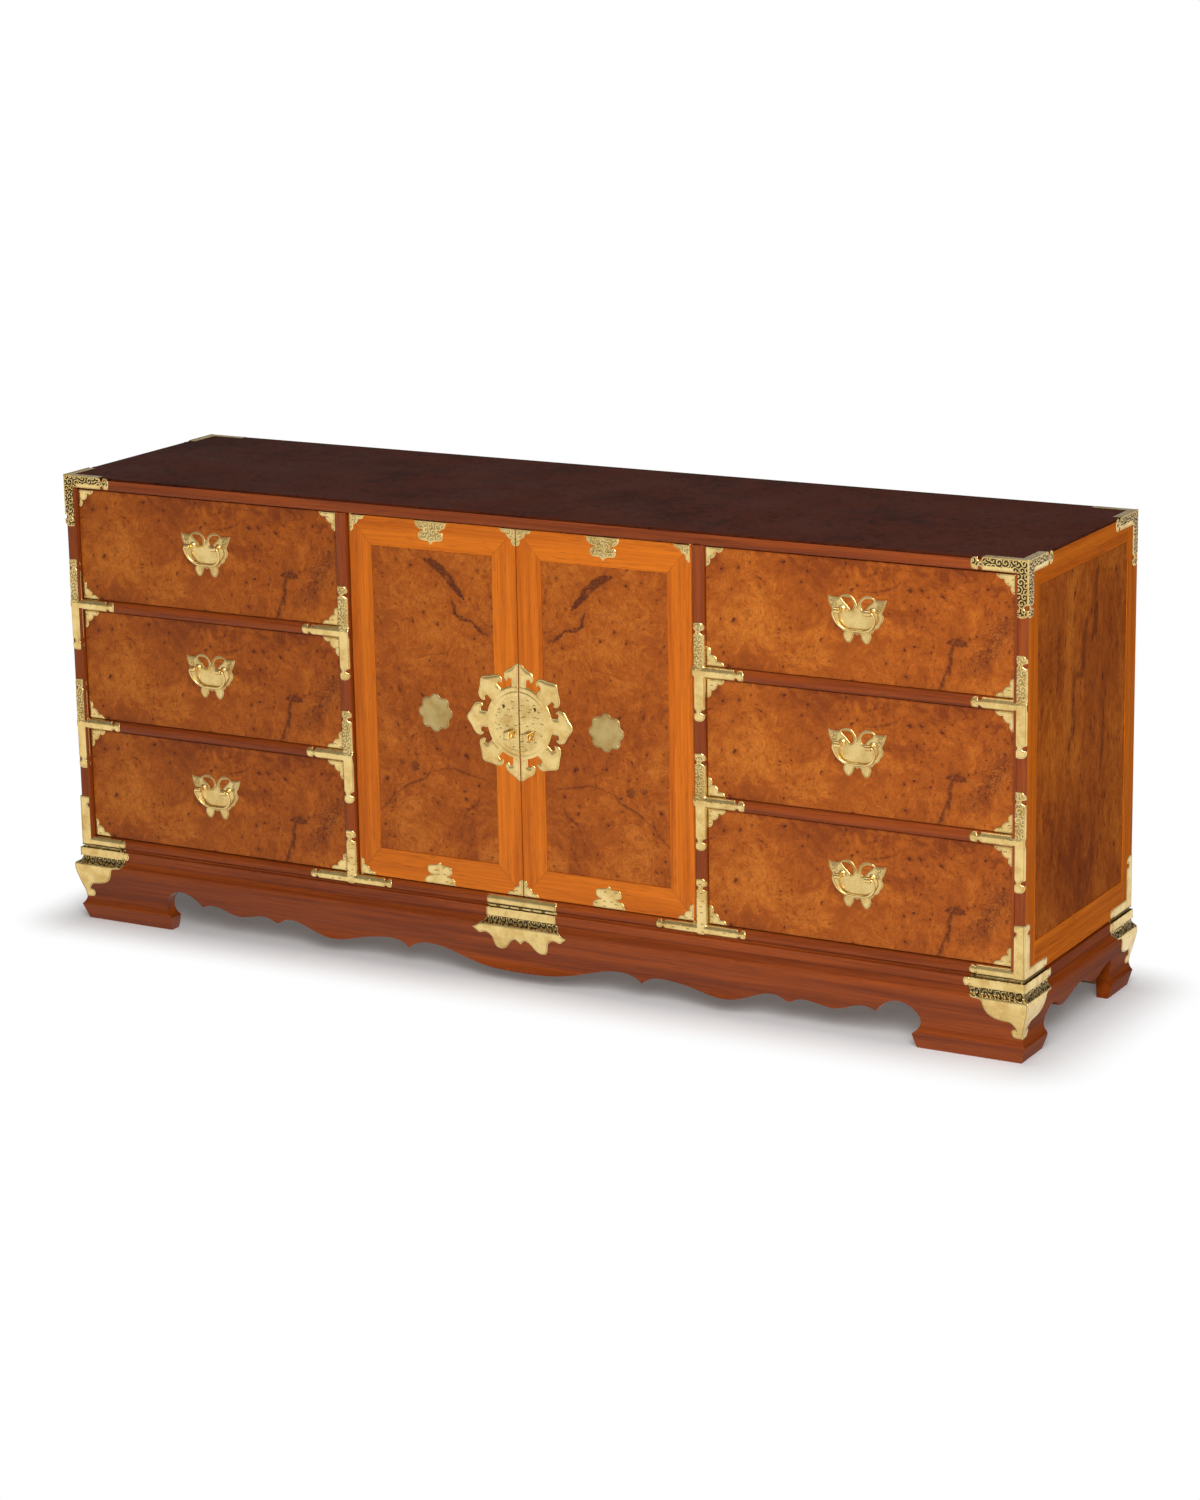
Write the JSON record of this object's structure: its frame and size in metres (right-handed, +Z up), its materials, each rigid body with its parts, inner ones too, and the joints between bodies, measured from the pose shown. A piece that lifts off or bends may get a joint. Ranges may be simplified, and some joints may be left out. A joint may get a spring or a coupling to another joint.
{
  "type": "sideboard",
  "caption": "Low burl-wood sideboard with drawers on both sides of a pair of pivoted doors, on a moulded bracket base with brass butterfly pulls.",
  "frame": {"origin": "on the floor, under the middle of the box around the closed sideboard", "axes": "+X along the front to the viewer's right, -Y out of the front, +Z up"},
  "size_m": [1.855, 0.4718, 0.8142],
  "materials": {
    "dark_wood": "lacquered",
    "red_wood": "lacquered",
    "orange_wood": "lacquered",
    "burl_wood": "lacquered",
    "inner_wood": "plain",
    "brass": "aged satin"
  },
  "bodies": {
    "case": {"top_panel": "dark_wood", "top_rail": "red_wood", "corner_posts": "red_wood", "divider_posts": "red_wood", "drawer_rails": "red_wood", "bottom_rail": "red_wood", "base_front": "red_wood", "base_back": "inner_wood", "foot_blocks": "inner_wood", "back_panel": "inner_wood", "bottom_board": "inner_wood", "drawer_runners": "inner_wood", "shelf": "inner_wood", "shelf_bearers": "inner_wood", "rail_straps": "brass", "divider_foot_straps": "brass", "top_corner_brackets": "brass", "base_mounts": "brass", "door_pivots": "brass", "left_side_frame": "orange_wood", "left_side_panel": "burl_wood", "left_partition": "inner_wood", "left_base_side": "red_wood", "right_side_frame": "orange_wood", "right_side_panel": "burl_wood", "right_partition": "inner_wood", "right_base_side": "red_wood"},
    "left_door": {"left_door_frame": "orange_wood", "left_door_panel": "burl_wood", "left_door_plates": "brass", "left_lock_plate": "brass"},
    "left_bottom_drawer": {"left_bottom_drawer_front": "burl_wood", "left_bottom_drawer_box": "inner_wood", "left_bottom_drawer_brass": "brass"},
    "left_bottom_drawer_pull": {"left_bottom_drawer_bail": "brass"},
    "left_middle_drawer": {"left_middle_drawer_front": "burl_wood", "left_middle_drawer_box": "inner_wood", "left_middle_drawer_brass": "brass"},
    "left_middle_drawer_pull": {"left_middle_drawer_bail": "brass"},
    "left_top_drawer": {"left_top_drawer_front": "burl_wood", "left_top_drawer_box": "inner_wood", "left_top_drawer_brass": "brass"},
    "left_top_drawer_pull": {"left_top_drawer_bail": "brass"},
    "right_door": {"right_door_frame": "orange_wood", "right_door_panel": "burl_wood", "right_door_plates": "brass", "right_lock_plate": "brass"},
    "right_bottom_drawer": {"right_bottom_drawer_front": "burl_wood", "right_bottom_drawer_box": "inner_wood", "right_bottom_drawer_brass": "brass"},
    "right_bottom_drawer_pull": {"right_bottom_drawer_bail": "brass"},
    "right_middle_drawer": {"right_middle_drawer_front": "burl_wood", "right_middle_drawer_box": "inner_wood", "right_middle_drawer_brass": "brass"},
    "right_middle_drawer_pull": {"right_middle_drawer_bail": "brass"},
    "right_top_drawer": {"right_top_drawer_front": "burl_wood", "right_top_drawer_box": "inner_wood", "right_top_drawer_brass": "brass"},
    "right_top_drawer_pull": {"right_top_drawer_bail": "brass"}
  },
  "joints": [
    {"name": "left_door_swing", "type": "hinge", "parent": "case", "child": "left_door", "pos_m": [-0.3246, -0.20915, 0.155], "axis": [0, 0, -1], "range_deg": [0, 90]},
    {"name": "left_bottom_drawer_slide", "type": "slide", "parent": "case", "child": "left_bottom_drawer", "axis": [0, -1, 0], "range_m": [0, 0.32]},
    {"name": "left_bottom_drawer_pull_lift", "type": "hinge", "parent": "left_bottom_drawer", "child": "left_bottom_drawer_pull", "pos_m": [-0.6224, -0.23035, 0.27283], "axis": [-1, 0, 0], "range_deg": [0, 95]},
    {"name": "left_middle_drawer_slide", "type": "slide", "parent": "case", "child": "left_middle_drawer", "axis": [0, -1, 0], "range_m": [0, 0.32]},
    {"name": "left_middle_drawer_pull_lift", "type": "hinge", "parent": "left_middle_drawer", "child": "left_middle_drawer_pull", "pos_m": [-0.6224, -0.23035, 0.4905], "axis": [-1, 0, 0], "range_deg": [0, 95]},
    {"name": "left_top_drawer_slide", "type": "slide", "parent": "case", "child": "left_top_drawer", "axis": [0, -1, 0], "range_m": [0, 0.32]},
    {"name": "left_top_drawer_pull_lift", "type": "hinge", "parent": "left_top_drawer", "child": "left_top_drawer_pull", "pos_m": [-0.6224, -0.23035, 0.70817], "axis": [-1, 0, 0], "range_deg": [0, 95]},
    {"name": "right_door_swing", "type": "hinge", "parent": "case", "child": "right_door", "pos_m": [0.3246, -0.20915, 0.155], "axis": [0, 0, 1], "range_deg": [0, 90]},
    {"name": "right_bottom_drawer_slide", "type": "slide", "parent": "case", "child": "right_bottom_drawer", "axis": [0, -1, 0], "range_m": [0, 0.32]},
    {"name": "right_bottom_drawer_pull_lift", "type": "hinge", "parent": "right_bottom_drawer", "child": "right_bottom_drawer_pull", "pos_m": [0.6224, -0.23035, 0.27283], "axis": [-1, 0, 0], "range_deg": [0, 95]},
    {"name": "right_middle_drawer_slide", "type": "slide", "parent": "case", "child": "right_middle_drawer", "axis": [0, -1, 0], "range_m": [0, 0.32]},
    {"name": "right_middle_drawer_pull_lift", "type": "hinge", "parent": "right_middle_drawer", "child": "right_middle_drawer_pull", "pos_m": [0.6224, -0.23035, 0.4905], "axis": [-1, 0, 0], "range_deg": [0, 95]},
    {"name": "right_top_drawer_slide", "type": "slide", "parent": "case", "child": "right_top_drawer", "axis": [0, -1, 0], "range_m": [0, 0.32]},
    {"name": "right_top_drawer_pull_lift", "type": "hinge", "parent": "right_top_drawer", "child": "right_top_drawer_pull", "pos_m": [0.6224, -0.23035, 0.70817], "axis": [-1, 0, 0], "range_deg": [0, 95]}
  ]
}
